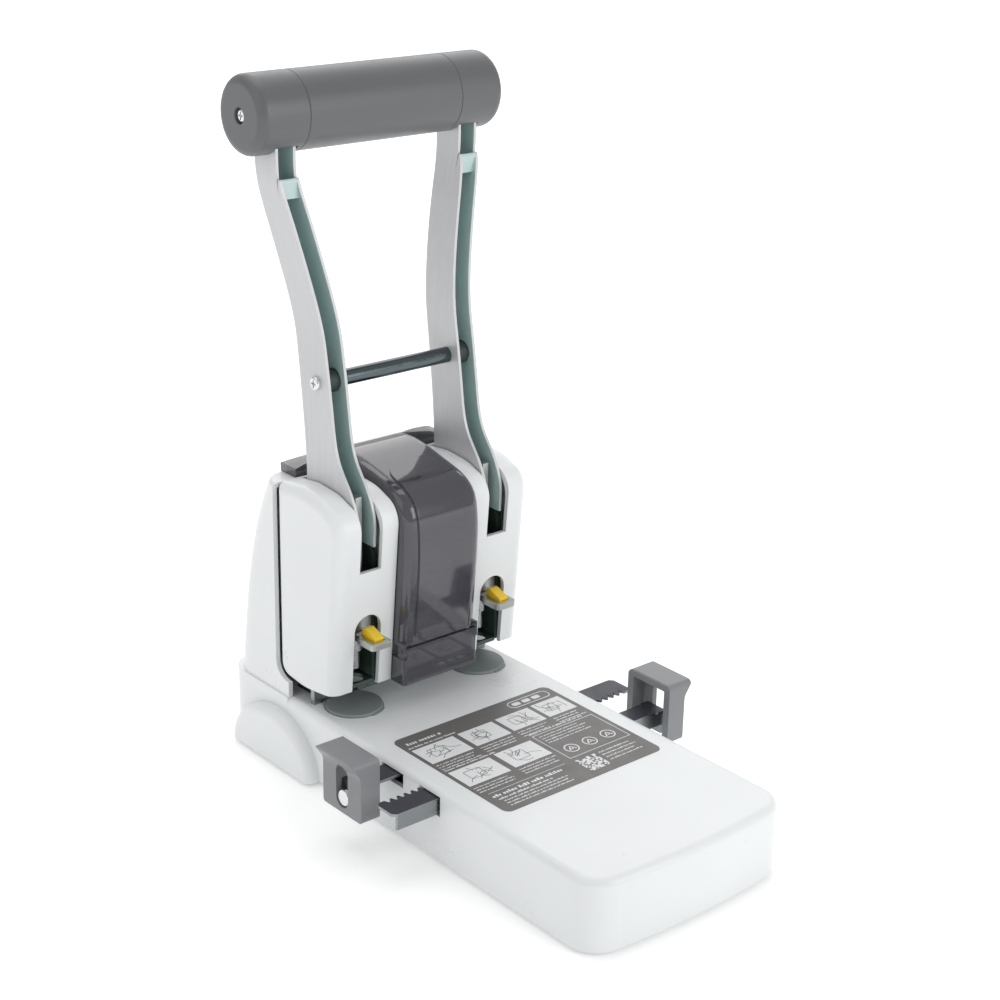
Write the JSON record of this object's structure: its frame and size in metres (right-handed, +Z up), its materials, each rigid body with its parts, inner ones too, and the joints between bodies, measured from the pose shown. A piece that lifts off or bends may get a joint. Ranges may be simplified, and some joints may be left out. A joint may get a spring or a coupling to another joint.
{
  "type": "hole punch",
  "caption": "Heavy duty paper hole punch with a long lever handle, centring side stops, replaceable cutters and a clear chip cover.",
  "frame": {"origin": "on the floor, midway between the sides and between the front and rear edges of the base", "axes": "+X to the user's right along the line between the two holes, +Y to the rear, +Z up"},
  "size_m": [0.189, 0.288, 0.351],
  "materials": {
    "white_plastic": "satin white moulding",
    "grey_plastic": "mid grey moulding",
    "grip_plastic": "dark grey hard grip",
    "smoke_plastic": "smoke-tinted clear plastic",
    "yellow_plastic": "yellow moulding",
    "disc_plastic": "dark green-grey cutting disc",
    "label_film": "dark grey printed film",
    "zinc_steel": "zinc-plated sheet",
    "bright_steel": "bright plated",
    "tool_steel": "ground steel",
    "cast_zinc": "die cast",
    "rubber_black": "black rubber",
    "spring_steel": "spring wire"
  },
  "bodies": {
    "base": {"base_plate": "zinc_steel", "base_screws": "bright_steel", "base_shell": "white_plastic", "chamber_wall": "white_plastic", "cover_left": "white_plastic", "cover_right": "white_plastic", "feet": "rubber_black", "frame_left": "zinc_steel", "frame_right": "zinc_steel", "frame_tie": "zinc_steel", "hood": "smoke_plastic", "paper_stop": "zinc_steel", "pinion_stud": "tool_steel", "pivot_shaft": "tool_steel", "rail_tray": "zinc_steel", "rear_housing": "white_plastic", "shaft_clips": "spring_steel", "spring_left": "spring_steel", "spring_right": "spring_steel", "table_label": "label_film", "tray_screws": "bright_steel"},
    "handle": {"arm_left": "zinc_steel", "arm_right": "zinc_steel", "crossbar": "bright_steel", "crossbar_bushes": "grey_plastic", "crossbar_screws": "bright_steel", "drive_pins": "tool_steel", "grip_core": "tool_steel", "grip_sleeve": "grip_plastic", "grip_cap_left": "grip_plastic", "grip_cap_right": "grip_plastic", "grip_screws": "bright_steel"},
    "punch_left": {"slide_left": "cast_zinc", "cutter_left": "tool_steel"},
    "punch_right": {"slide_right": "cast_zinc", "cutter_right": "tool_steel"},
    "bail_left": {"bail_left": "cast_zinc", "wedge_left": "yellow_plastic"},
    "bail_right": {"bail_right": "cast_zinc", "wedge_right": "yellow_plastic"},
    "rear_rail": {"rail_rear": "zinc_steel", "rivet_left": "bright_steel"},
    "front_rail": {"rail_front": "zinc_steel", "rivet_right": "bright_steel"},
    "pinion": {"pinion": "tool_steel"},
    "left_stop": {"stop_left": "grey_plastic"},
    "right_stop": {"stop_right": "grey_plastic"},
    "left_disc": {"disc_left": "disc_plastic"},
    "right_disc": {"disc_right": "disc_plastic"},
    "chip_door": {"chip_door": "smoke_plastic"}
  },
  "joints": [
    {"name": "handle_swing", "type": "hinge", "parent": "base", "child": "handle", "pos_m": [0, 0.08, 0.135], "axis": [1, 0, 0], "range_deg": [0, 70], "stiffness_Nm_per_rad": 0.5, "springref_deg": -34.38},
    {"name": "punch_left_slide", "type": "slide", "parent": "base", "child": "punch_left", "axis": [0, 0, -1], "range_m": [0, 0.0201], "deforming": ["spring_left"]},
    {"name": "punch_right_slide", "type": "slide", "parent": "base", "child": "punch_right", "axis": [0, 0, -1], "range_m": [0, 0.0201], "deforming": ["spring_right"]},
    {"name": "bail_left_release", "type": "slide", "parent": "punch_left", "child": "bail_left", "axis": [0, -1, 0], "range_m": [0, 0.01]},
    {"name": "bail_right_release", "type": "slide", "parent": "punch_right", "child": "bail_right", "axis": [0, -1, 0], "range_m": [0, 0.01]},
    {"name": "rear_rail_slide", "type": "slide", "parent": "base", "child": "rear_rail", "axis": [-1, 0, 0], "range_m": [-0.01, 0.07]},
    {"name": "front_rail_slide", "type": "slide", "parent": "base", "child": "front_rail", "axis": [1, 0, 0], "range_m": [-0.0101, 0.0701]},
    {"name": "pinion_spin", "type": "hinge", "parent": "base", "child": "pinion", "pos_m": [0, -0.014, 0.0343], "axis": [0, 0, 1], "range_deg": [-80, 520]},
    {"name": "left_stop_lift", "type": "slide", "parent": "rear_rail", "child": "left_stop", "axis": [0, 0, -1], "range_m": [0, 0.013]},
    {"name": "right_stop_lift", "type": "slide", "parent": "front_rail", "child": "right_stop", "axis": [0, 0, -1], "range_m": [0, 0.013]},
    {"name": "left_disc_turn", "type": "hinge", "parent": "base", "child": "left_disc", "pos_m": [-0.04, 0.061, 0.036], "axis": [0, 0, 1], "continuous": true},
    {"name": "right_disc_turn", "type": "hinge", "parent": "base", "child": "right_disc", "pos_m": [0.04, 0.061, 0.036], "axis": [0, 0, 1], "continuous": true},
    {"name": "chip_door_hinge", "type": "hinge", "parent": "base", "child": "chip_door", "pos_m": [0, 0.0424, 0.0702], "axis": [-1, 0, 0], "range_deg": [0, 75]}
  ],
  "couplings": [
    {"joint": "punch_left_slide", "follows": "handle_swing", "m_per_rad": 0.01637},
    {"joint": "punch_right_slide", "follows": "handle_swing", "m_per_rad": 0.01637},
    {"joint": "front_rail_slide", "follows": "rear_rail_slide", "ratio": 1},
    {"joint": "pinion_spin", "follows": "rear_rail_slide", "rad_per_m": 128.21}
  ]
}
